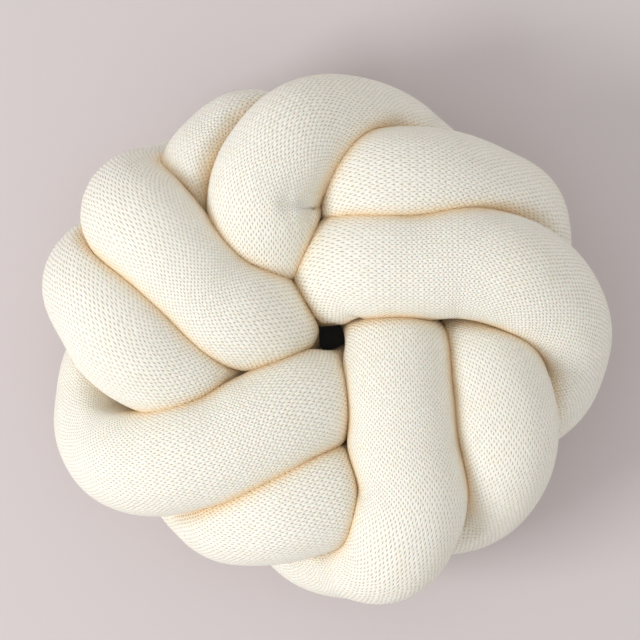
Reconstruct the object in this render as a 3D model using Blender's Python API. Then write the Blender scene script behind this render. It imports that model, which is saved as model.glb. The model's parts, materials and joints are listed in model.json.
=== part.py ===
"""Knot cushion: one long stuffed tube of knitted cloth, closed on itself and tied in a flat round knot.

The tube goes four times round the middle in ten lobes.  Each lobe climbs out of the middle, runs outwards
over the top as an arm of a clockwise pinwheel, turns down at the rim and comes back in underneath.  The
arms lie in five pairs: the inner arm of a pair edges the small hole in the middle, the outer arm lies
beside it.  The tube is soft, so wherever two turns press on each other both are flattened.

Metres, +Z up.  The cushion lies on its back on z = 0, with the origin under its middle.
"""

import bmesh
import bpy
import numpy as np

COLLECTION_NAME = "knot_cushion"
CUSHION_NAME = "knotted_tube"

MILLIMETRE = 0.001

# Driving sizes of the cushion.
TUBE_RADIUS = 0.0395        # stuffed tube where nothing presses on it
TURN_SPACING = 0.0585       # least distance between the middles of two turns that press on each other
MIDDLE_HALF_HEIGHT = 0.0455  # how far the middle of the tube rises and sinks from the knot's mid-plane
BACK_DEPTH = 0.078          # from the knot's mid-plane down to the flat back
TURN_GAP = 0.0022           # clearance between two turns, and so the width of the creases
HOLE_RADIUS = 0.009         # hole that the inner arms leave between them, from the top to the back

# The ten arms, in the order in which the tube makes them.  Each row is one lobe, with the plan position
# (x, y) of the tube's middle in millimetres at seven stages: it starts in the middle under the arm before
# it, climbs to its crest, reaches its shoulder, turns at the rim, dips, tucks under its neighbours and runs
# in under them.
ARMS = (
    # lane     start        crest         shoulder        rim           dip           tuck          under
    ("outer", (-1, 81),   (23, 101),   (76, 104),     (113, 92),   (129, 56),   (111, -1),   (73, -40)),
    ("inner", (10, -38),  (-34, -55),  (-82, -76),    (-130, -86), (-155, -62), (-147, -14), (-120, 34)),
    ("outer", (-93, 82),  (-76, 121),  (-64, 132),    (-56, 135),  (-29, 121),  (3, 93),     (31, 51)),
    ("inner", (42, 9),    (47, -30),   (50, -82),     (47, -128),  (20, -145),  (-12, -114), (-32, -78)),
    ("outer", (-69, -31), (-101, -21), (-133, -10),   (-151, 16),  (-140, 52),  (-106, 69),  (-67, 69)),
    ("inner", (-29, 49),  (13, 52),    (83, 52.5),    (132, 39),   (157.5, 0),  (136, -42),  (76, -82)),
    ("outer", (20, -101), (-23, -115), (-51, -120.5), (-83, -110), (-99, -78),  (-107, -43), (-104, -5)),
    ("inner", (-70, 40),  (-50, 96),   (-29, 132),    (10, 146),   (46, 129),   (77, 93),    (95, 51)),
    ("outer", (97, 6),    (111, -33),  (119, -64),    (107, -98),  (74, -114),  (31, -110),  (-8, -78)),
    ("inner", (-42, -9),  (-68, 18),   (-113, 60),    (-136, 78),  (-114, 95),  (-71, 104),  (-32, 93)),
)
# Height of the tube's middle at each stage, in tube radii above the knot's mid-plane.
STAGE_LEVELS = {
    "outer": (-0.45, 0.55, 0.8, 0.4, -0.3, -0.9, -1.0),
    "inner": (-0.3, 0.85, 1.15, 0.85, 0.05, -0.6, -0.8),
}

# How the tube settles into the knot.
ROUTE_POINTS = 320          # points along the middle of the tube
SETTLE_PASSES = 220
PLACED_STAGES = 5           # stages of an arm that lie on top, where the maker places them
PLACED_HOLD = 0.5           # share of the way back to its place that such a point goes in each pass
HIDDEN_HOLD = 0.12          # the same for the stages that lie underneath
SPREAD = 0.5                # share of an overlap that one turn gives way by in each pass
STRETCH = 0.12              # how strongly the tube pulls itself straight
BEND_HARMONIC = 32          # waves along the whole tube above which it is too stiff to bend
NEAR_POINTS = 9             # points along the same turn, which don't press on each other
CORRECT_FROM, CORRECT_TO = 60, 180
CORRECTION = 0.06           # share of what is left to its place that a point aims beyond it by
CORRECTION_MOST = 0.030

# The surface of the solid.
SECTIONS = 260              # cross sections along the tube
SIDES = 18                  # corners round each section
ROUNDING = 12.0             # sharpness of the turn from a free round side into a pressed flat one
OWN_TURN = 0.92             # share of its own bend's radius that a section may reach
OUTER_FULLER = 0.5          # how much less the turn farther from the mid-plane gives way than the other

CLOTH_COLOUR = (0.86, 0.82, 0.73, 1.0)
CLOTH_ROUGHNESS = 0.95


def clear_scene():
    """Remove every object from the scene."""
    for old in list(bpy.data.objects):
        bpy.data.objects.remove(old, do_unlink=True)


def knitted_cloth():
    """Off-white knitted cloth."""
    material = bpy.data.materials.new("cream_knit")
    material.use_nodes = True
    shader = material.node_tree.nodes["Principled BSDF"]
    shader.inputs["Base Color"].default_value = CLOTH_COLOUR
    shader.inputs["Roughness"].default_value = CLOTH_ROUGHNESS
    shader.inputs["Metallic"].default_value = 0.0
    return material


def laid_route():
    """Middle of the tube at every stage of every arm, and whether the stage lies on top."""
    places = []
    on_top = []
    for lane, *plan in ARMS:
        for stage, (x, y) in enumerate(plan):
            places.append((x * MILLIMETRE, y * MILLIMETRE, STAGE_LEVELS[lane][stage] * TUBE_RADIUS))
            on_top.append(stage < PLACED_STAGES)
    return np.array(places), np.array(on_top)


def evenly_spaced(places, count):
    """Points at even steps along a closed string of places, and the step at which each place comes."""
    closed = np.vstack([places, places[:1]])
    run = np.concatenate([[0.0], np.cumsum(np.linalg.norm(np.diff(closed, axis=0), axis=1))])
    steps = np.linspace(0.0, run[-1], count, endpoint=False)
    points = np.stack([np.interp(steps, run, closed[:, axis]) for axis in range(3)], axis=1)
    return points, np.round(run[:-1] / run[-1] * count).astype(int) % count


def stiffened(points, strength):
    """A closed string of points without the bends that are too short for the tube."""
    waves = np.fft.rfft(points, axis=0)
    harmonic = np.arange(len(waves))[:, None]
    softness = 1.0 / (1.0 + (harmonic / BEND_HARMONIC) ** 4)
    return np.fft.irfft(waves * softness ** strength, len(points), axis=0)


def steps_apart(count):
    """How many steps lie between every two of the points round a closed string."""
    step = np.arange(count)
    apart = np.abs(step[:, None] - step[None, :])
    return np.minimum(apart, count - apart)


def settled_route():
    """Middle of the tube once its turns have given way to each other and pulled smooth."""
    places, on_top = laid_route()
    points, at = evenly_spaced(places, ROUTE_POINTS)
    points = stiffened(points, 2.0)
    other_turn = steps_apart(ROUTE_POINTS) > NEAR_POINTS
    hold = np.where(on_top, PLACED_HOLD, HIDDEN_HOLD)[:, None]
    lead = np.zeros((len(places), 2))
    for settle_pass in range(SETTLE_PASSES):
        between = points[:, None, :] - points[None, :, :]
        distance = np.linalg.norm(between, axis=2)
        overlap = np.where(other_turn, np.maximum(TURN_SPACING - distance, 0.0), 0.0)
        away = between / np.maximum(distance, 1e-9)[:, :, None]
        pressed = overlap.sum(axis=1)[:, None] + 1e-9
        points = points + SPREAD * (away * overlap[:, :, None] ** 2).sum(axis=1) / pressed
        points = points + STRETCH * (np.roll(points, 1, 0) + np.roll(points, -1, 0) - 2.0 * points)
        missing = places[:, :2] - points[at, :2]
        if CORRECT_FROM < settle_pass < CORRECT_TO:
            lead = lead + CORRECTION * missing * on_top[:, None]
            lead = np.clip(lead, -CORRECTION_MOST, CORRECTION_MOST)
        points[at, :2] += hold * (missing + lead)
        points = stiffened(points, 0.15)
        points[:, 2] -= points[:, 2].mean()
        points[:, 2] = np.clip(points[:, 2], -MIDDLE_HALF_HEIGHT, MIDDLE_HALF_HEIGHT)
    return stiffened(points, 0.5)


def resampled(points, count):
    """The same closed smooth string at another number of even steps."""
    waves = np.fft.rfft(points, axis=0)
    return np.fft.irfft(waves, count, axis=0) * (count / len(points))


def section_frames(route):
    """Two directions square to the tube at each point, which turn about it as little as they can."""
    along = np.roll(route, -1, 0) - np.roll(route, 1, 0)
    along /= np.linalg.norm(along, axis=1)[:, None]
    side = np.cross(along, (0.0, 0.0, 1.0))
    side /= np.linalg.norm(side, axis=1)[:, None]
    up = np.cross(side, along)
    following_up = np.roll(up, -1, 0)
    twist = np.arctan2((following_up * side).sum(axis=1), (following_up * up).sum(axis=1))
    turned = np.concatenate([[0.0], np.cumsum(twist)[:-1]])
    left_over = np.remainder(twist.sum() + np.pi, 2.0 * np.pi) - np.pi
    turned = turned - left_over * np.arange(len(route)) / len(route)
    cosine = np.cos(turned)[:, None]
    sine = np.sin(turned)[:, None]
    return up * cosine - side * sine, side * cosine + up * sine


def pressed_reach(route, outward):
    """How far the tube's side reaches from its middle in each direction round each section.

    A free side reaches the tube's radius.  Towards another turn it reaches only the plane half way to it,
    less half the gap, and inside a bend it stops short of the bend's centre.  The plane lies a little
    nearer the turn that is deeper in the knot, so the arms on top keep their fullness.  Towards the upright
    line in the middle it reaches only to the hole.  The smallest reach rules, and the change from one to
    the other is rounded.
    """
    count = len(route)
    apart = steps_apart(count)
    near = NEAR_POINTS * count / ROUTE_POINTS
    reach_power = np.full(outward.shape[:2], TUBE_RADIUS ** -ROUNDING)
    step = np.linalg.norm(np.roll(route, -1, 0) - route, axis=1).mean()
    bend = (np.roll(route, 1, 0) + np.roll(route, -1, 0) - 2.0 * route) / step ** 2
    inward_bend = np.maximum((outward * bend[:, None, :]).sum(axis=2), 0.0)
    reach_power += (inward_bend / OWN_TURN) ** ROUNDING
    from_middle = np.linalg.norm(route[:, :2], axis=1)
    to_middle = np.maximum(-(outward[:, :, :2] * route[:, None, :2]).sum(axis=2), 0.0)
    reach_power += (to_middle / (from_middle * (from_middle - HOLE_RADIUS))[:, None]) ** ROUNDING
    for section in range(count):
        to_turn = route - route[section]
        distance = np.linalg.norm(to_turn, axis=1)
        pressing = np.nonzero((apart[section] > near) & (distance < 2.6 * TUBE_RADIUS))[0]
        if len(pressing) == 0:
            continue
        half_way = distance[pressing] * (distance[pressing] - TURN_GAP) / 2.0
        farther_out = abs(route[section, 2]) - np.abs(route[pressing, 2])
        half_way = half_way * (1.0 + OUTER_FULLER * farther_out / distance[pressing])
        facing = np.maximum(outward[section] @ to_turn[pressing].T, 0.0)
        turn_starts = np.concatenate([[0], np.nonzero(np.diff(pressing) > 1)[0] + 1])
        nearest = np.maximum.reduceat(facing / half_way, turn_starts, axis=1)
        reach_power[section] += (nearest ** ROUNDING).sum(axis=1)
    return reach_power ** (-1.0 / ROUNDING)


def knotted_tube_surface():
    """Corners of the tube's sections, a row for each section, on the flat back and centred over it."""
    route = resampled(settled_route(), SECTIONS)
    first, second = section_frames(route)
    angle = np.linspace(0.0, 2.0 * np.pi, SIDES, endpoint=False)[None, :, None]
    outward = first[:, None, :] * np.cos(angle) + second[:, None, :] * np.sin(angle)
    corners = route[:, None, :] + outward * pressed_reach(route, outward)[:, :, None]
    corners[:, :, 2] = np.maximum(corners[:, :, 2] + BACK_DEPTH, 0.0)
    low = corners.min(axis=(0, 1))
    high = corners.max(axis=(0, 1))
    corners[:, :, :2] -= (low[:2] + high[:2]) / 2.0
    return corners


def knotted_tube(material):
    """Loft the sections, which are all unlike, into one closed tube."""
    corners = knotted_tube_surface()
    build = bmesh.new()
    rings = [[build.verts.new(corner) for corner in ring] for ring in corners]
    for ring, following in zip(rings, rings[1:] + rings[:1]):
        for side in range(SIDES):
            beside = (side + 1) % SIDES
            build.faces.new((ring[side], following[side], following[beside]))
            build.faces.new((ring[side], following[beside], ring[beside]))
    bmesh.ops.recalc_face_normals(build, faces=build.faces)
    mesh = bpy.data.meshes.new(CUSHION_NAME)
    build.to_mesh(mesh)
    build.free()
    mesh.shade_smooth()
    mesh.materials.append(material)
    return bpy.data.objects.new(CUSHION_NAME, mesh)


def main():
    clear_scene()
    collection = bpy.data.collections.new(COLLECTION_NAME)
    bpy.context.scene.collection.children.link(collection)
    collection.objects.link(knotted_tube(knitted_cloth()))


main()
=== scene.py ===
"""Knot cushion: the looks of one long stuffed tube of jersey knit, closed and tied in a flat round knot.

The tube goes four times round the middle in ten lobes.  Each lobe climbs out of the middle, runs outwards
over the top as an arm of a clockwise pinwheel, turns down at the rim and comes back in underneath.  The
script works out how the tube settles, how its turns press each other flat, and how the knit runs along it.
A short Cloth simulation of a coarser skin then moves the skin as the stuffing's pressure would.

Metres, +Z up.  The cushion lies on its back on z = 0, with the origin under its middle.
"""

import json
import math

import bpy
import numpy as np
from bpy.props import FloatProperty, FloatVectorProperty, IntProperty, PointerProperty
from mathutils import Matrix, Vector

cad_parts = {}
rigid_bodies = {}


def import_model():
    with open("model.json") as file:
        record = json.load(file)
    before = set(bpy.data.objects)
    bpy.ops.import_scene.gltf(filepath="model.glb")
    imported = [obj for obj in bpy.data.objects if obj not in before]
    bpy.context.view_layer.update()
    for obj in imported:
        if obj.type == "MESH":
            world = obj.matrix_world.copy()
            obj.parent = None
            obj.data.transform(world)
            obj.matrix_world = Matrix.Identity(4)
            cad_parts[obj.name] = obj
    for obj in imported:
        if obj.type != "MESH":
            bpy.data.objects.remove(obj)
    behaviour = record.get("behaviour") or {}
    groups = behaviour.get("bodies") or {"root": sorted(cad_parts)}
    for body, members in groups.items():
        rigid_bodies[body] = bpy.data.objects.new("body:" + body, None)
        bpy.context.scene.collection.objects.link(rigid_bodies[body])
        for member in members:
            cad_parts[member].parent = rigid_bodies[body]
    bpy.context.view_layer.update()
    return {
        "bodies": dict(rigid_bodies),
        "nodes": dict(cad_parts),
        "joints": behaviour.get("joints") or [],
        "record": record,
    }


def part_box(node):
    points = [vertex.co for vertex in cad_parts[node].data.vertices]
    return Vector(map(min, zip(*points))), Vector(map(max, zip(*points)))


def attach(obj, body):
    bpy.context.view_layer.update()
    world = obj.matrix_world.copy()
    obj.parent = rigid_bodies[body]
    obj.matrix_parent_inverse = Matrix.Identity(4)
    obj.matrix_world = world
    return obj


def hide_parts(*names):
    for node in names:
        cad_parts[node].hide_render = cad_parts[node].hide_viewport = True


bl_info = {
    "name": "Knot Cushion",
    "version": (1, 0, 0),
    "blender": (4, 5, 0),
    "location": "View3D > Sidebar > Knot Cushion",
    "description": "Ties a stuffed tube of jersey knit into a flat round knot cushion",
    "category": "Add Mesh",
}

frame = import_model()

TUBE_NODE = "knotted_tube"
STITCH_MAP = "stitches"
CUT_MAP = "OFBake"
# Mesh attribute that masks the painted crease shade.
SHUT_IN = "shut_in"

MILLIMETRE = 0.001

# The ten arms, in the order in which the tube makes them.  Each row is one lobe, with the plan position
# (x, y) of the tube's middle in millimetres at seven stages: it starts in the middle under the arm before
# it, climbs to its crest, reaches its shoulder, turns at the rim, dips, tucks under its neighbours and runs
# in under them.
ARMS = (
    # lane     start        crest         shoulder        rim           dip           tuck          under
    ("outer", (-1, 81),   (23, 101),   (76, 104),     (113, 92),   (129, 56),   (111, -1),   (73, -40)),
    ("inner", (10, -38),  (-34, -55),  (-82, -76),    (-130, -86), (-155, -62), (-147, -14), (-120, 34)),
    ("outer", (-93, 82),  (-76, 121),  (-64, 132),    (-56, 135),  (-29, 121),  (3, 93),     (31, 51)),
    ("inner", (42, 9),    (47, -30),   (50, -82),     (47, -128),  (20, -145),  (-12, -114), (-32, -78)),
    ("outer", (-69, -31), (-101, -21), (-133, -10),   (-151, 16),  (-140, 52),  (-106, 69),  (-67, 69)),
    ("inner", (-29, 49),  (13, 52),    (83, 52.5),    (132, 39),   (157.5, 0),  (136, -42),  (76, -82)),
    ("outer", (20, -101), (-23, -115), (-51, -120.5), (-83, -110), (-99, -78),  (-107, -43), (-104, -5)),
    ("inner", (-70, 40),  (-50, 96),   (-29, 132),    (10, 146),   (46, 129),   (77, 93),    (95, 51)),
    ("outer", (97, 6),    (111, -33),  (119, -64),    (107, -98),  (74, -114),  (31, -110),  (-8, -78)),
    ("inner", (-42, -9),  (-68, 18),   (-113, 60),    (-136, 78),  (-114, 95),  (-71, 104),  (-32, 93)),
)
TINY = 1e-9                 # keeps a division from being by nothing

# Height of the tube's middle at each stage, in tube radii above the knot's mid-plane.
STAGE_LEVELS = {
    "outer": (-0.45, 0.55, 0.8, 0.4, -0.3, -0.9, -1.0),
    "inner": (-0.3, 0.85, 1.15, 0.85, 0.05, -0.6, -0.8),
}

# How the tube settles into the knot.
ROUTE_POINTS = 320          # points along the middle of the tube
SETTLE_PASSES = 220
PLACED_STAGES = 5           # stages of an arm that lie on top, where the maker places them
PLACED_HOLD = 0.5           # share of the way back to its place that such a point goes in each pass
HIDDEN_HOLD = 0.12          # the same for the stages that lie underneath
SPREAD = 0.5                # share of an overlap that one turn gives way by in each pass
STRETCH = 0.12              # how strongly the tube pulls itself straight
BEND_HARMONIC = 32          # waves along the whole tube above which it is too stiff to bend
START_STIFFNESS = 2.0       # strength of the smoothing before the first pass
PASS_STIFFNESS = 0.15       # the same in each pass
END_STIFFNESS = 0.5         # the same after the last pass
NEAR_POINTS = 9             # points along the same turn, which don't press on each other
CORRECT_FROM, CORRECT_TO = 60, 180
CORRECTION = 0.06           # share of what is left to its place that a point aims beyond it by
CORRECTION_MOST = 0.030

# How the sides of the tube press on each other.
ROUNDING = 20.0             # sharpness of the turn from a free round side into a pressed flat one
OWN_TURN = 0.92             # share of its own bend's radius that a section may reach
OUTER_FULLER = 0.5          # how much less the turn farther from the mid-plane gives way than the other
PRESS_SAMPLE = 2            # every so many sections, a section of another turn is taken to press
PRESS_RANGE = 3.2           # distance in tube radii beyond which another turn doesn't press
CUT_ROWS = 4                # rows that the tube's skin is cut into for its flat layout
CUT_MARGIN = 0.003

# How the stuffing lies in lumps.
LUMP_SEED = 7
LUMP_WAVES = 36
LUMP_LAPS_ALONG = (24, 96)  # least and most waves along the whole tube
LUMP_LAPS_AROUND = (-3, 4)  # the same round it
LUMP_FADE = 4               # how fast the lumps fade where a side is pressed

# How the stuffing swells the cloth, in a Cloth simulation of a coarser skin.
CAGE_STEP = 2               # sections, and corners round each, of the skin for one of the simulated cloth
CAGE_GAP = 0.0              # clearance between two turns of the simulated cloth, before it is drawn in
START_SMALLER = 0.003       # how much the cloth is drawn in, so its turns start clear of each other
SWELL_PRESSURE = 4.0
SWELL_FRAMES = 8
SWELL_MOST = 0.005          # farthest that the simulation may move a place of the skin
CLOTH_APART = 0.001         # distance that the simulated cloth keeps from itself


def laid_route(tube):
    """Middle of the tube at every stage of every arm, and whether the stage lies on top."""
    places = []
    on_top = []
    for lane, *plan in ARMS:
        for stage, (x, y) in enumerate(plan):
            places.append((x * MILLIMETRE, y * MILLIMETRE, STAGE_LEVELS[lane][stage] * tube.radius))
            on_top.append(stage < PLACED_STAGES)
    return np.array(places), np.array(on_top)


def evenly_spaced(places, count):
    """Points at even steps along a closed string of places, and the step at which each place comes."""
    closed = np.vstack([places, places[:1]])
    run = np.concatenate([[0.0], np.cumsum(np.linalg.norm(np.diff(closed, axis=0), axis=1))])
    steps = np.linspace(0.0, run[-1], count, endpoint=False)
    points = np.stack([np.interp(steps, run, closed[:, axis]) for axis in range(3)], axis=1)
    return points, np.round(run[:-1] / run[-1] * count).astype(int) % count


def stiffened(points, strength):
    """A closed string of points without the bends that are too short for the tube."""
    waves = np.fft.rfft(points, axis=0)
    harmonic = np.arange(len(waves))[:, None]
    softness = 1.0 / (1.0 + (harmonic / BEND_HARMONIC) ** 4)
    return np.fft.irfft(waves * softness ** strength, len(points), axis=0)


def steps_apart(count):
    """How many steps lie between every two of the points round a closed string."""
    step = np.arange(count)
    apart = np.abs(step[:, None] - step[None, :])
    return np.minimum(apart, count - apart)


def settled_route(tube):
    """Middle of the tube once its turns have given way to each other and pulled smooth.

    In each pass every two points of different turns that are nearer than the turn spacing push each other
    apart, each point moves towards the middle of its two neighbours, and the placed stages are drawn back
    to their places in plan, with a lead that makes up for what the pushing takes away.
    """
    places, on_top = laid_route(tube)
    points, at = evenly_spaced(places, ROUTE_POINTS)
    points = stiffened(points, START_STIFFNESS)
    other_turn = steps_apart(ROUTE_POINTS) > NEAR_POINTS
    hold = np.where(on_top, PLACED_HOLD, HIDDEN_HOLD)[:, None]
    lead = np.zeros((len(places), 2))
    for settle_pass in range(SETTLE_PASSES):
        between = points[:, None, :] - points[None, :, :]
        distance = np.linalg.norm(between, axis=2)
        overlap = np.where(other_turn, np.maximum(tube.turn_spacing - distance, 0.0), 0.0)
        away = between / np.maximum(distance, TINY)[:, :, None]
        pressed = overlap.sum(axis=1)[:, None] + TINY
        points = points + SPREAD * (away * overlap[:, :, None] ** 2).sum(axis=1) / pressed
        points = points + STRETCH * (np.roll(points, 1, 0) + np.roll(points, -1, 0) - 2.0 * points)
        missing = places[:, :2] - points[at, :2]
        if CORRECT_FROM < settle_pass < CORRECT_TO:
            lead = lead + CORRECTION * missing * on_top[:, None]
            lead = np.clip(lead, -CORRECTION_MOST, CORRECTION_MOST)
        points[at, :2] += hold * (missing + lead)
        points = stiffened(points, PASS_STIFFNESS)
        points[:, 2] -= points[:, 2].mean()
        points[:, 2] = np.clip(points[:, 2], -tube.half_height, tube.half_height)
    return stiffened(points, END_STIFFNESS)


def resampled(points, count):
    """The same closed smooth string at another number of even steps."""
    waves = np.fft.rfft(points, axis=0)
    return np.fft.irfft(waves, count, axis=0) * (count / len(points))


def section_frames(route):
    """Two directions square to the tube at each point, which turn about it as little as they can.

    The first guess is the direction nearest to straight up.  The turn of that guess about the tube from
    each section to the next is added up and taken away again, and what is left over after one lap is
    spread evenly, so that the last section meets the first.
    """
    along = np.roll(route, -1, 0) - np.roll(route, 1, 0)
    along /= np.linalg.norm(along, axis=1)[:, None]
    side = np.cross(along, (0.0, 0.0, 1.0))
    side /= np.linalg.norm(side, axis=1)[:, None]
    up = np.cross(side, along)
    following_up = np.roll(up, -1, 0)
    twist = np.arctan2((following_up * side).sum(axis=1), (following_up * up).sum(axis=1))
    turned = np.concatenate([[0.0], np.cumsum(twist)[:-1]])
    left_over = np.remainder(twist.sum() + np.pi, 2.0 * np.pi) - np.pi
    turned = turned - left_over * np.arange(len(route)) / len(route)
    cosine = np.cos(turned)[:, None]
    sine = np.sin(turned)[:, None]
    return up * cosine - side * sine, side * cosine + up * sine


def other_turns(route, tube):
    """For each number of steps ahead, the sections that have another turn in range there.

    Gives the numbers of those sections, the way to the other turn and its distance.
    """
    count = len(route)
    near = NEAR_POINTS * count // ROUTE_POINTS
    for ahead in range(near, count - near, PRESS_SAMPLE):
        way = np.roll(route, -ahead, 0) - route
        distance = np.linalg.norm(way, axis=1)
        pressing = np.nonzero(distance < PRESS_RANGE * tube.radius)[0]
        if len(pressing):
            yield pressing, way[pressing], distance[pressing]


def pressed_reach(route, outward, tube, gap):
    """How far the tube's side reaches from its middle in each direction round each section.

    One over the reach, to the power k, is a sum of such terms.  A free side gives one over the tube's
    radius.  A bend gives its curvature towards that side, over the share of its radius that may be filled.
    Each point of another turn gives one over the distance along that direction to the plane half way to
    it, less half the gap; these are added along the turn and shared by the length over which a straight
    turn would press, which for a turn at distance d is d * sqrt(pi) * gamma(k - 1/2) / gamma(k).  The
    plane lies a little nearer the turn that is deeper in the knot, so the arms on top keep their fullness.
    The upright line in the middle gives one over the distance to the hole round it in the same way.
    """
    step = np.linalg.norm(np.roll(route, -1, 0) - route, axis=1).mean()
    bend = (np.roll(route, 1, 0) + np.roll(route, -1, 0) - 2.0 * route) / step ** 2
    inward_bend = np.maximum((outward * bend[:, None, :]).sum(axis=2), 0.0)
    reach_power = tube.radius ** -ROUNDING + (inward_bend / OWN_TURN) ** ROUNDING
    from_middle = np.linalg.norm(route[:, :2], axis=1)
    to_middle = np.maximum(-(outward[:, :, :2] * route[:, None, :2]).sum(axis=2), 0.0)
    to_hole = from_middle * (from_middle - tube.hole_radius)
    reach_power += (to_middle / to_hole[:, None]) ** ROUNDING
    pressed_share = math.sqrt(math.pi) * math.gamma(ROUNDING - 0.5) / math.gamma(ROUNDING)
    for pressing, way, distance in other_turns(route, tube):
        half_way = distance * (distance - gap) / 2.0
        height = route[pressing, 2]
        farther_out = np.abs(height) - np.abs(height + way[:, 2])
        half_way = half_way * (1.0 + OUTER_FULLER * farther_out / distance)
        facing = np.maximum(np.einsum("nsk,nk->ns", outward[pressing], way), 0.0)
        share = PRESS_SAMPLE * step / (pressed_share * distance)
        reach_power[pressing] += (facing / half_way[:, None]) ** ROUNDING * share[:, None]
    return reach_power ** (-1.0 / ROUNDING)


def taut(reach, tube, section_step):
    """The reach with the ridges that a taut skin pulls down, but no fuller than before.

    The reach is blurred along and round the tube by a bell curve, and the smaller of the two is kept.
    """
    waves = np.fft.rfft2(reach)
    along = np.fft.fftfreq(reach.shape[0])[:, None] / section_step
    round_step = 2.0 * math.pi * tube.radius / reach.shape[1]
    around = np.fft.rfftfreq(reach.shape[1])[None, :] / round_step
    spread = 2.0 * (math.pi * tube.skin_blur) ** 2 * (along ** 2 + around ** 2)
    blurred = np.fft.irfft2(waves * np.exp(-spread), reach.shape)
    return np.minimum(blurred, reach)


def stuffing_lumps(tube):
    """How much the stuffing lifts each place of the skin: a sum of a few long, shallow waves."""
    random = np.random.default_rng(LUMP_SEED)
    along = np.linspace(0.0, 2.0 * math.pi, tube.sections, endpoint=False)[:, None]
    around = np.linspace(0.0, 2.0 * math.pi, tube.sides, endpoint=False)[None, :]
    lumps = np.zeros((tube.sections, tube.sides))
    for _ in range(LUMP_WAVES):
        laps_along = random.integers(*LUMP_LAPS_ALONG)
        laps_around = random.integers(*LUMP_LAPS_AROUND)
        start = random.uniform(0.0, 2.0 * math.pi)
        lumps += np.cos(laps_along * along + laps_around * around + start)
    return tube.lump_height * lumps / lumps.std()


def nearness(skin, route, tube):
    """How shut in each place of the skin is between the turns: 1 where they touch, 0 where it is open.

    The distance from the place to the middle of the nearest other turn is compared with the tube's
    radius, and the difference fades out over the crease width.  This share masks the painted crease shade.
    """
    nearest = np.full(skin.shape[:2], np.inf)
    for pressing, way, _ in other_turns(route, tube):
        to_middle = skin[pressing] - (route[pressing] + way)[:, None, :]
        nearest[pressing] = np.minimum(nearest[pressing], np.linalg.norm(to_middle, axis=2))
    open_by = np.clip((nearest - tube.radius) / tube.crease_width, 0.0, 1.0)
    return (1.0 - open_by) ** 2


def closed_grid_mesh(name, skin):
    """Mesh of a skin, which closes both along the tube and round it."""
    rows, columns = skin.shape[:2]
    corner_rows, corner_columns = grid_faces(rows, columns)
    corners = (corner_rows % rows) * columns + corner_columns % columns
    mesh = bpy.data.meshes.new(name)
    mesh.vertices.add(rows * columns)
    mesh.vertices.foreach_set("co", skin.astype(np.float32).ravel())
    mesh.loops.add(corners.size)
    mesh.loops.foreach_set("vertex_index", corners.astype(np.int32).ravel())
    mesh.polygons.add(rows * columns)
    mesh.polygons.foreach_set("loop_start", np.arange(0, corners.size, 4, dtype=np.int32))
    mesh.update(calc_edges=True)
    return mesh


def simulated_swell(cage):
    """How far the stuffing's pressure moves each corner of a coarse skin.

    Blender's Cloth swells the skin with no gravity, and its turns press on each other.  No corner moves
    farther than the cap.
    """
    scene = bpy.context.scene
    mesh = closed_grid_mesh("swelling_cloth", cage)
    cloth = bpy.data.objects.new("swelling_cloth", mesh)
    scene.collection.objects.link(cloth)
    stuffing = cloth.modifiers.new("stuffing", "CLOTH")
    stuffing.settings.use_pressure = True
    stuffing.settings.uniform_pressure_force = SWELL_PRESSURE
    stuffing.settings.effector_weights.gravity = 0.0
    stuffing.collision_settings.use_self_collision = True
    stuffing.collision_settings.self_distance_min = CLOTH_APART
    stuffing.point_cache.frame_end = SWELL_FRAMES
    for frame in range(1, SWELL_FRAMES + 1):
        scene.frame_set(frame)
    swollen = cloth.evaluated_get(bpy.context.evaluated_depsgraph_get())
    places = np.empty(cage.size, dtype=np.float32)
    swollen.to_mesh().vertices.foreach_get("co", places)
    swollen.to_mesh_clear()
    moved = places.reshape(cage.shape) - cage
    moved -= moved.mean(axis=(0, 1))  # the cushion as a whole stays where it is
    bpy.data.objects.remove(cloth)
    bpy.data.meshes.remove(mesh)
    scene.frame_set(1)
    length = np.maximum(np.linalg.norm(moved, axis=2, keepdims=True), TINY)
    return moved * np.minimum(SWELL_MOST / length, 1.0)


def swell(route, outward, tube):
    """How far each corner of the fine skin swells, from the simulation of the coarser one."""
    cage_route = route[::CAGE_STEP]
    cage_outward = outward[::CAGE_STEP, ::CAGE_STEP]
    reach = pressed_reach(cage_route, cage_outward, tube, CAGE_GAP) - START_SMALLER
    moved = simulated_swell(cage_route[:, None, :] + cage_outward * reach[:, :, None])
    along = resampled(moved, tube.sections)
    return resampled(along.swapaxes(0, 1), tube.sides).swapaxes(0, 1)


def knotted_skin(tube):
    """Corners of the tube's skin, a row for each section, how shut in each is, and the tube's length.

    Below the back the skin is flat: with h the height over the back and r its rounding, the height becomes
    half of h plus the root of h squared plus r squared.
    """
    route = resampled(settled_route(tube), tube.sections)
    first, second = section_frames(route)
    angle = np.linspace(0.0, 2.0 * np.pi, tube.sides, endpoint=False)[None, :, None]
    outward = first[:, None, :] * np.cos(angle) + second[:, None, :] * np.sin(angle)
    length = np.linalg.norm(np.roll(route, -1, 0) - route, axis=1).sum()
    reach = pressed_reach(route, outward, tube, tube.gap)
    free = np.clip(reach / tube.radius, 0.0, 1.0) ** LUMP_FADE
    reach = taut(reach, tube, length / tube.sections) + stuffing_lumps(tube) * free
    skin = route[:, None, :] + outward * reach[:, :, None]
    skin += swell(route, outward, tube)
    shut_in = nearness(skin, route, tube)
    above = skin[:, :, 2] + tube.back_depth
    skin[:, :, 2] = (above + np.sqrt(above ** 2 + tube.back_round ** 2)) / 2.0
    low = skin.min(axis=(0, 1))
    high = skin.max(axis=(0, 1))
    skin[:, :, :2] -= (low[:2] + high[:2]) / 2.0
    return skin, shut_in, length


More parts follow.
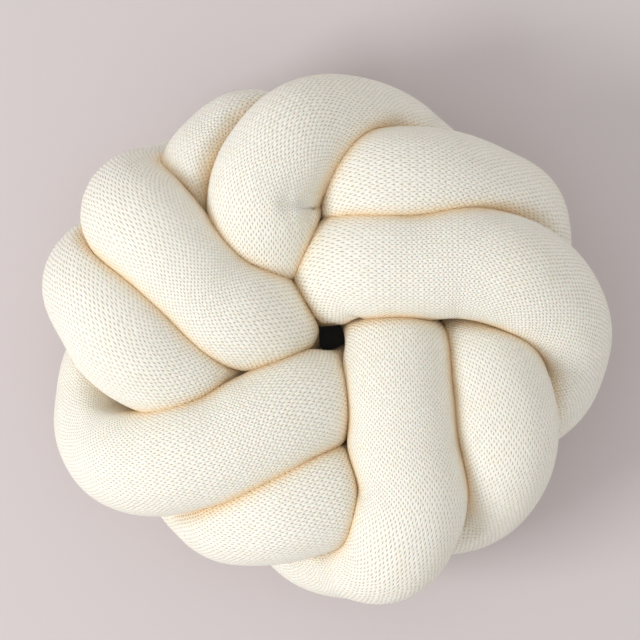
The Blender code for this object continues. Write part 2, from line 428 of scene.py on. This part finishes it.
def grid_faces(rows, columns):
    """Corner numbers (row, column) of the four corners of every face of a grid closed both ways."""
    row, column = np.meshgrid(np.arange(rows), np.arange(columns), indexing="ij")
    corner_rows = np.stack([row, row, row + 1, row + 1], axis=2)
    corner_columns = np.stack([column, column + 1, column + 1, column], axis=2)
    return corner_rows, corner_columns


def skin_mesh(name, tube):
    """Mesh of the tube's skin, with the stitches counted along and round it.

    The stitch map counts columns of stitches round the tube and rows along it, both whole numbers over a
    lap, so the knit closes.  The cut map lays the skin flat in a few rows, one below the other.
    """
    skin, shut_in, length = knotted_skin(tube)
    rows, columns = tube.sections, tube.sides
    corner_rows, corner_columns = grid_faces(rows, columns)
    mesh = closed_grid_mesh(name, skin)
    mesh.shade_smooth()

    stitch_rows = round(length / tube.stitch_height)
    stitches = np.stack([
        corner_columns * (tube.stitch_columns / columns),
        corner_rows * (stitch_rows / rows),
    ], axis=3)
    cut_row = (corner_rows[:, :, :1] * CUT_ROWS // rows)
    inside = 1.0 - 2.0 * CUT_MARGIN
    cut = np.stack([
        CUT_MARGIN + inside * (corner_rows * CUT_ROWS / rows - cut_row),
        (cut_row + CUT_MARGIN + inside * corner_columns / columns) / CUT_ROWS,
    ], axis=3)
    for map_name, places in ((CUT_MAP, cut), (STITCH_MAP, stitches)):
        layer = mesh.uv_layers.new(name=map_name)
        layer.uv.foreach_set("vector", places.astype(np.float32).ravel())
    mesh.uv_layers.active = mesh.uv_layers[CUT_MAP]
    attribute = mesh.attributes.new(SHUT_IN, "FLOAT", "POINT")
    attribute.data.foreach_set("value", shut_in.astype(np.float32).ravel())
    return mesh


def colour_socket(sockets, name):
    """The colour socket of a Mix node, which has several sockets of the same name."""
    return next(socket for socket in sockets if socket.name == name and socket.type == "RGBA")


# The knit, its lengths in stitches.
WAVER_SCALE = 0.37          # how fast the columns waver
WAVER = 0.25                # how far, in columns
UNEVEN_SCALE = 0.9          # how fast the rows change
UNEVEN = 0.3                # how far, in rows
FIBRE_SCALE, FIBRE_DETAIL = 1400.0, 3.0
PATCH_SCALE, PATCH_DETAIL = 14.0, 3.0
LEG_HEIGHT = 0.3            # heights as shares of the depth of a gap
FIBRE_HEIGHT = 0.25
UNEVEN_HEIGHT = 0.35
PATCH_RANGE = (0.4, 0.6)    # from the one tone of yarn to the other
COVERED_RANGE = (0.05, 0.62)
ROUGHNESS_RANGE = 0.2
SPECULAR = 0.25
GLOW_RADIUS = (1.0, 0.55, 0.3)
SHEEN_ROUGHNESS = 0.5

# The stage.
WINDOW_PLACE = (-2.5, -0.9, 2.1)
ROOM_COLOUR = (1.0, 0.985, 0.975, 1.0)
FLOOR_HALF = 6.0
FLOOR_ROUGHNESS = 0.8


class Weaver:
    """Adds nodes to a material, each fed by sockets or numbers, and gives back their output."""

    def __init__(self, name):
        self.material = bpy.data.materials.new(name)
        self.material.use_nodes = True
        self.tree = self.material.node_tree
        self.shader = self.tree.nodes["Principled BSDF"]

    def feed(self, socket, value):
        """Link an output to this socket, or set the socket to a plain value."""
        if isinstance(value, bpy.types.NodeSocket):
            self.tree.links.new(value, socket)
        else:
            socket.default_value = value

    def maths(self, operation, *values):
        """One step of arithmetic on numbers or outputs."""
        node = self.tree.nodes.new("ShaderNodeMath")
        node.operation = operation
        for socket, value in zip(node.inputs, values):
            self.feed(socket, value)
        return node.outputs[0]

    def eased(self, value, low, high):
        """0 below low, 1 above high and a smooth rise between them."""
        node = self.tree.nodes.new("ShaderNodeMapRange")
        node.interpolation_type = "SMOOTHSTEP"
        self.feed(node.inputs["Value"], value)
        node.inputs["From Min"].default_value = low
        node.inputs["From Max"].default_value = high
        return node.outputs["Result"]

    def blended(self, share, first, second):
        """Two colours blended by a share."""
        node = self.tree.nodes.new("ShaderNodeMix")
        node.data_type = "RGBA"
        self.feed(node.inputs[0], share)
        self.feed(colour_socket(node.inputs, "A"), first)
        self.feed(colour_socket(node.inputs, "B"), second)
        return colour_socket(node.outputs, "Result")

    def noise(self, place, scale, detail=2.0):
        """Soft noise from 0 to 1."""
        node = self.tree.nodes.new("ShaderNodeTexNoise")
        self.feed(node.inputs["Vector"], place)
        node.inputs["Scale"].default_value = scale
        node.inputs["Detail"].default_value = detail
        return node.outputs["Fac"]


def jersey_material(cloth):
    """Plain jersey knit: columns of V-shaped stitches.

    With u counted in columns and v in rows, x is the distance from the middle of a column.  The two legs
    of a stitch are the ridges of |sin(pi (v + x))|, and the two rows of legs in a column are the ridges of
    |sin(2 pi u)|.  Where both are low there is a small dark gap, round like 1 - (1 - legs)(1 - ribs), and
    the legs stand up a little between the gaps.  Where two turns meet, the colour is blended towards a
    painted crease shade, a warm, darker tint standing in for the shade and the light bounced between them.
    """
    weave = Weaver("cream_jersey")
    tree = weave.tree
    stitches = tree.nodes.new("ShaderNodeUVMap")
    stitches.uv_map = STITCH_MAP
    apart = tree.nodes.new("ShaderNodeSeparateXYZ")
    tree.links.new(stitches.outputs["UV"], apart.inputs[0])
    column, row = apart.outputs["X"], apart.outputs["Y"]
    place = tree.nodes.new("ShaderNodeTexCoord").outputs["Object"]

    waver = weave.noise(stitches.outputs["UV"], WAVER_SCALE, 1.0)
    column = weave.maths("ADD", column, weave.maths("MULTIPLY_ADD", waver, 2.0 * WAVER, -WAVER))
    uneven = weave.noise(stitches.outputs["UV"], UNEVEN_SCALE, 1.0)
    row = weave.maths("ADD", row, weave.maths("MULTIPLY_ADD", uneven, 2.0 * UNEVEN, -UNEVEN))
    from_middle = weave.maths("ABSOLUTE", weave.maths("SUBTRACT", weave.maths("FRACT", column), 0.5))
    slanted = weave.maths("MULTIPLY", weave.maths("ADD", row, from_middle), math.pi)
    legs = weave.maths("ABSOLUTE", weave.maths("SINE", slanted))
    ribs = weave.maths("ABSOLUTE", weave.maths("SINE", weave.maths("MULTIPLY", column, 2.0 * math.pi)))
    open_legs = weave.maths("SUBTRACT", 1.0, legs)
    open_ribs = weave.maths("SUBTRACT", 1.0, ribs)
    gaps = weave.maths("MULTIPLY", open_legs, open_ribs)
    yarn = weave.maths("SUBTRACT", 1.0, gaps)

    fibres = weave.noise(place, FIBRE_SCALE, FIBRE_DETAIL)
    height = weave.maths("ADD", yarn, weave.maths("MULTIPLY", legs, LEG_HEIGHT))
    height = weave.maths("ADD", height, weave.maths("MULTIPLY", fibres, FIBRE_HEIGHT))
    height = weave.maths("ADD", height, weave.maths("MULTIPLY", uneven, UNEVEN_HEIGHT))
    bump = tree.nodes.new("ShaderNodeBump")
    bump.inputs["Strength"].default_value = 1.0
    bump.inputs["Distance"].default_value = cloth.stitch_depth
    tree.links.new(height, bump.inputs["Height"])
    tree.links.new(bump.outputs["Normal"], weave.shader.inputs["Normal"])

    cloudy = weave.noise(place, PATCH_SCALE, PATCH_DETAIL)
    patches = weave.maths("MULTIPLY_ADD", waver, 0.5, weave.maths("MULTIPLY", cloudy, 0.5))
    darker = weave.eased(patches, *PATCH_RANGE)
    tone = weave.blended(darker, tuple(cloth.yarn_colour), tuple(cloth.shade_colour))
    covered = weave.eased(yarn, *COVERED_RANGE)
    knit = weave.blended(covered, tuple(cloth.gap_colour), tone)
    # Painted shade: where the turns shut a place in, the colour is blended towards a warm, darker tint that
    # stands in for the crease's shade and bounced light.
    shut_in = tree.nodes.new("ShaderNodeAttribute")
    shut_in.attribute_name = SHUT_IN
    painted_crease_shade_share = weave.maths("MULTIPLY", shut_in.outputs["Fac"], cloth.painted_crease_shade_strength)
    colour = weave.blended(painted_crease_shade_share, knit, tuple(cloth.painted_crease_shade_colour))
    tree.links.new(colour, weave.shader.inputs["Base Color"])

    rough = weave.maths("MULTIPLY_ADD", fibres, ROUGHNESS_RANGE, cloth.roughness - ROUGHNESS_RANGE / 2.0)
    tree.links.new(rough, weave.shader.inputs["Roughness"])
    weave.shader.inputs["Specular IOR Level"].default_value = SPECULAR
    weave.shader.inputs["Subsurface Weight"].default_value = cloth.glow
    weave.shader.inputs["Subsurface Radius"].default_value = GLOW_RADIUS
    weave.shader.inputs["Subsurface Scale"].default_value = cloth.glow_depth
    weave.shader.inputs["Sheen Weight"].default_value = cloth.fuzz
    weave.shader.inputs["Sheen Roughness"].default_value = SHEEN_ROUGHNESS
    return weave.material


class KnotCushionTube(bpy.types.PropertyGroup):
    """Sizes of the stuffed tube and of the knot it makes."""

    radius: FloatProperty(
        name="Tube radius", description="Stuffed tube where nothing presses on it",
        default=0.0395, min=0.02, unit="LENGTH")
    turn_spacing: FloatProperty(
        name="Turn spacing", description="Least distance between the middles of two turns that press",
        default=0.0585, unit="LENGTH")
    half_height: FloatProperty(
        name="Rise", description="How far the middle of the tube rises and sinks from the mid-plane",
        default=0.0455, unit="LENGTH")
    back_depth: FloatProperty(
        name="Back depth", description="From the knot's mid-plane down to the flat back",
        default=0.078, unit="LENGTH")
    back_round: FloatProperty(
        name="Back rounding", description="Softness of the edge round the flat back",
        default=0.0012, unit="LENGTH")
    gap: FloatProperty(
        name="Gap", description="Clearance between two turns in a crease, below zero where they dent",
        default=-0.0040, unit="LENGTH")
    hole_radius: FloatProperty(
        name="Hole radius", description="Hole that the inner arms leave between them",
        default=0.009, unit="LENGTH")
    skin_blur: FloatProperty(
        name="Skin tension", description="Width over which the taut skin rounds off a ridge",
        default=0.0025, unit="LENGTH")
    lump_height: FloatProperty(
        name="Lumps", description="Height of the stuffing's lumps", default=0.00035, unit="LENGTH")
    # Width over which the painted crease shade fades out.
    crease_width: FloatProperty(
        name="Crease width", description="Distance over which a crease opens up",
        default=0.012, unit="LENGTH")
    sections: IntProperty(name="Sections", description="Cross sections along the tube", default=1000)
    sides: IntProperty(name="Sides", description="Corners round each section", default=96)
    stitch_columns: IntProperty(
        name="Stitch columns", description="Columns of stitches round the tube", default=74)
    stitch_height: FloatProperty(
        name="Stitch height", description="Height of one row of stitches", default=0.0033, unit="LENGTH")


class KnotCushionCloth(bpy.types.PropertyGroup):
    """Colours and finish of the jersey knit, and the painted shade in its creases."""

    yarn_colour: FloatVectorProperty(
        name="Yarn", description="Cream yarn", subtype="COLOR", size=4, default=(0.93, 0.905, 0.815, 1.0))
    shade_colour: FloatVectorProperty(
        name="Yarn, darker patches", description="The same yarn where it is a little darker",
        subtype="COLOR", size=4, default=(0.915, 0.885, 0.78, 1.0))
    gap_colour: FloatVectorProperty(
        name="Gaps", description="Between the stitches", subtype="COLOR", size=4,
        default=(0.64, 0.53, 0.38, 1.0))
    # Painted shade: a warm, darker tint where two turns meet, standing in for their shade and the light
    # bounced between them.
    painted_crease_shade_colour: FloatVectorProperty(
        name="Creases", description="Where two turns meet", subtype="COLOR", size=4,
        default=(0.96, 0.76, 0.50, 1.0))
    # How much of the painted crease shade shows.
    painted_crease_shade_strength: FloatProperty(
        name="Crease strength", description="How much of the crease colour shows", default=0.85,
        min=0.0, max=1.0, subtype="FACTOR")
    roughness: FloatProperty(
        name="Roughness", description="Mean roughness of the cloth", default=0.9, min=0.0, max=1.0,
        subtype="FACTOR")
    fuzz: FloatProperty(
        name="Fuzz", description="Sheen of the loose fibres", default=0.12, min=0.0, max=1.0,
        subtype="FACTOR")
    glow: FloatProperty(
        name="Glow", description="Share of the light that passes through the cloth", default=0.1,
        min=0.0, max=1.0, subtype="FACTOR")
    glow_depth: FloatProperty(
        name="Glow depth", description="How far light passes along inside the cloth", default=0.008,
        unit="LENGTH")
    stitch_depth: FloatProperty(
        name="Stitch depth", description="From the top of the yarn down into a gap",
        default=0.0008, unit="LENGTH")


class KnotCushionStage(bpy.types.PropertyGroup):
    """Floor, light and camera."""

    floor_colour: FloatVectorProperty(
        name="Floor", description="Colour of the floor", subtype="COLOR", size=4,
        default=(0.63, 0.575, 0.58, 1.0))
    sky_strength: FloatProperty(
        name="Room light", description="Strength of the light from all round", default=0.75)
    key_power: FloatProperty(
        name="Window light", description="Power of the large light from the lower left",
        default=56.0, unit="POWER")
    key_size: FloatProperty(
        name="Window size", description="Side of the large light", default=1.2, unit="LENGTH")
    camera_height: FloatProperty(
        name="Camera height", description="Height of the camera over the floor", default=3.0,
        unit="LENGTH")
    view_width: FloatProperty(
        name="View width", description="Width of the view at half the cushion's height",
        default=0.448, unit="LENGTH")
    view_right: FloatProperty(
        name="View offset right", description="Middle of the view, right of the cushion's middle",
        default=-0.0050, unit="LENGTH")
    view_up: FloatProperty(
        name="View offset up", description="Middle of the view, above the cushion's middle",
        default=0.0135, unit="LENGTH")


class KNOTCUSHION_OT_tube(bpy.types.Operator):
    """Tie the stuffed tube and cover it with jersey knit"""

    bl_idname = "knotcushion.tube"
    bl_label = "Knotted tube"

    def execute(self, context):
        scene = context.scene
        mesh = skin_mesh("jersey_tube", scene.knot_cushion_tube)
        mesh.materials.append(jersey_material(scene.knot_cushion_cloth))
        tube = bpy.data.objects.new("jersey_tube", mesh)
        scene.collection.objects.link(tube)
        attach(tube, "root")
        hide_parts(TUBE_NODE)
        return {"FINISHED"}


class KNOTCUSHION_OT_stage(bpy.types.Operator):
    """Set up the floor, the soft light and the camera over the cushion"""

    bl_idname = "knotcushion.stage"
    bl_label = "Studio"

    def execute(self, context):
        scene = context.scene
        stage = scene.knot_cushion_stage
        floor = make_floor(stage)
        scene.collection.objects.link(floor)
        world = bpy.data.worlds.new("room")
        scene.world = world
        world.use_nodes = True
        background = world.node_tree.nodes["Background"]
        background.inputs["Color"].default_value = ROOM_COLOUR
        background.inputs["Strength"].default_value = stage.sky_strength
        key = bpy.data.lights.new("window", "AREA")
        key.energy = stage.key_power
        key.size = stage.key_size
        window = bpy.data.objects.new("window", key)
        window.location = WINDOW_PLACE
        window.rotation_euler = (-window.location).to_track_quat("-Z", "Y").to_euler()
        scene.collection.objects.link(window)
        lens = bpy.data.cameras.new("overhead")
        camera = bpy.data.objects.new("overhead", lens)
        camera.location = (stage.view_right, stage.view_up, stage.camera_height)
        low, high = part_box(TUBE_NODE)
        distance = stage.camera_height - (low.z + high.z) / 2.0
        lens.lens = lens.sensor_width * distance / stage.view_width
        scene.collection.objects.link(camera)
        scene.camera = camera
        scene.view_settings.view_transform = "Standard"
        return {"FINISHED"}


def make_floor(stage):
    """A plain pale floor, a single square."""
    mesh = bpy.data.meshes.new("floor")
    corners = [(x * FLOOR_HALF, y * FLOOR_HALF, 0) for x, y in ((-1, -1), (1, -1), (1, 1), (-1, 1))]
    mesh.from_pydata(corners, [], [(0, 1, 2, 3)])
    material = bpy.data.materials.new("pale_floor")
    material.use_nodes = True
    shader = material.node_tree.nodes["Principled BSDF"]
    shader.inputs["Base Color"].default_value = tuple(stage.floor_colour)
    shader.inputs["Roughness"].default_value = FLOOR_ROUGHNESS
    mesh.materials.append(material)
    return bpy.data.objects.new("floor", mesh)


class KNOTCUSHION_PT_sidebar(bpy.types.Panel):
    """Lists the cushion's sizes, colours and steps"""

    bl_idname = "KNOTCUSHION_PT_sidebar"
    bl_label = "Knot Cushion"
    bl_space_type = "VIEW_3D"
    bl_region_type = "UI"
    bl_category = "Knot Cushion"

    def draw(self, context):
        layout = self.layout
        for name in ("knot_cushion_tube", "knot_cushion_cloth", "knot_cushion_stage"):
            group = getattr(context.scene, name)
            box = layout.box()
            for key in group.__annotations__:
                box.prop(group, key)
        layout.operator(KNOTCUSHION_OT_tube.bl_idname)
        layout.operator(KNOTCUSHION_OT_stage.bl_idname)


CLASSES = (
    KnotCushionTube,
    KnotCushionCloth,
    KnotCushionStage,
    KNOTCUSHION_OT_tube,
    KNOTCUSHION_OT_stage,
    KNOTCUSHION_PT_sidebar,
)


def register():
    """Register the classes and hang the settings on the scene."""
    for item in CLASSES:
        bpy.utils.register_class(item)
    bpy.types.Scene.knot_cushion_tube = PointerProperty(type=KnotCushionTube)
    bpy.types.Scene.knot_cushion_cloth = PointerProperty(type=KnotCushionCloth)
    bpy.types.Scene.knot_cushion_stage = PointerProperty(type=KnotCushionStage)


def unregister():
    """Take the settings and the classes away again."""
    del bpy.types.Scene.knot_cushion_stage
    del bpy.types.Scene.knot_cushion_cloth
    del bpy.types.Scene.knot_cushion_tube
    for item in reversed(CLASSES):
        bpy.utils.unregister_class(item)


def main():
    """Register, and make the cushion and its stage."""
    register()
    bpy.ops.knotcushion.tube()
    bpy.ops.knotcushion.stage()


if __name__ == "__main__":
    main()
